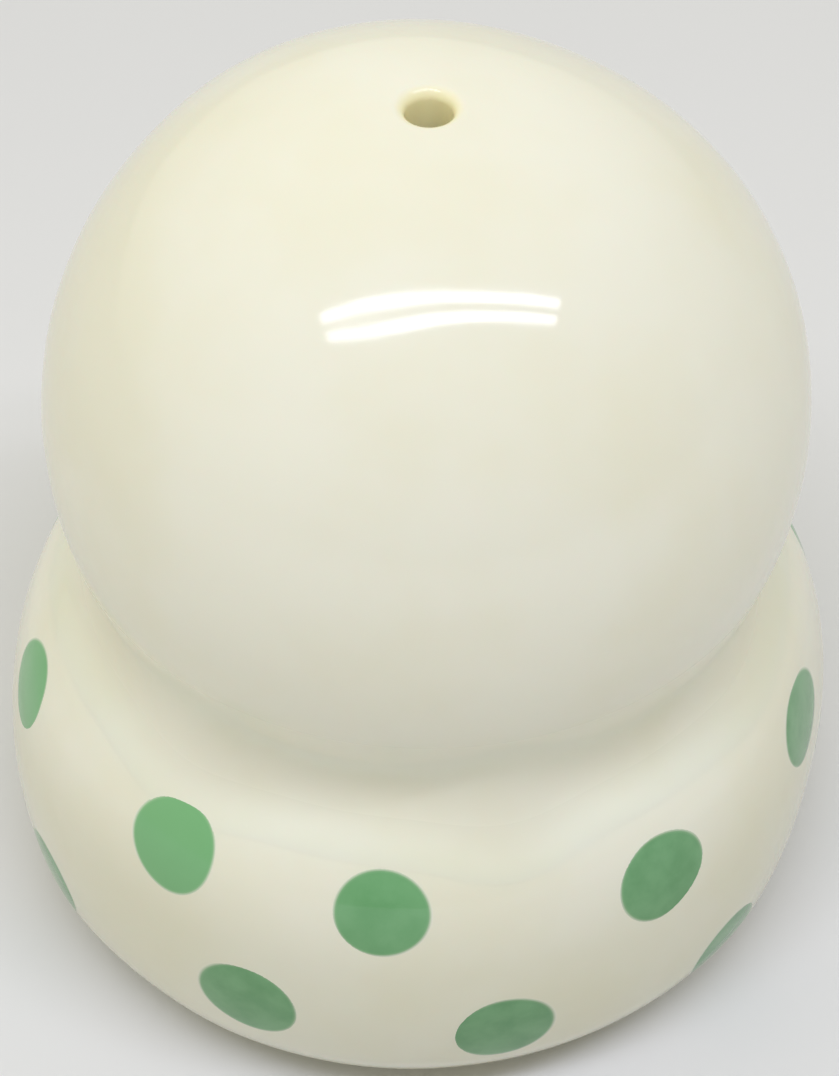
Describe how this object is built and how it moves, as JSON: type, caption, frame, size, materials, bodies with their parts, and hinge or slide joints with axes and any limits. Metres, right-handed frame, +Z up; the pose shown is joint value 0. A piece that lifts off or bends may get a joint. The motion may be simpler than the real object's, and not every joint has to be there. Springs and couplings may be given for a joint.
{
  "type": "flower frog",
  "caption": "Small glazed ceramic stem holder: a hollow cream ball with one crown hole, blended into a fat rounded collar foot with green dots, closed below by a soft bung.",
  "frame": {"origin": "centre of the foot ring, on the plane the object stands on", "axes": "+Z up through the ball's centre and the stem hole; -Y is the front; +X is to the right seen from the front"},
  "size_m": [0.0708, 0.0708, 0.0779],
  "materials": {
    "cream_glaze": "gloss",
    "seam_glaze": "gloss",
    "green_glaze": "gloss",
    "bung_rubber": "matt"
  },
  "bodies": {
    "frog_body": {"ball_shell": "cream_glaze", "collar_ring": "cream_glaze", "seam_fillet": "seam_glaze", "upper_dots": "green_glaze", "lower_dots": "green_glaze"},
    "bung": {"base_bung": "bung_rubber"}
  },
  "joints": [
    {"name": "bung_pull", "type": "slide", "parent": "frog_body", "child": "bung", "axis": [0, 0, -1], "range_m": [0, 0.008]}
  ]
}
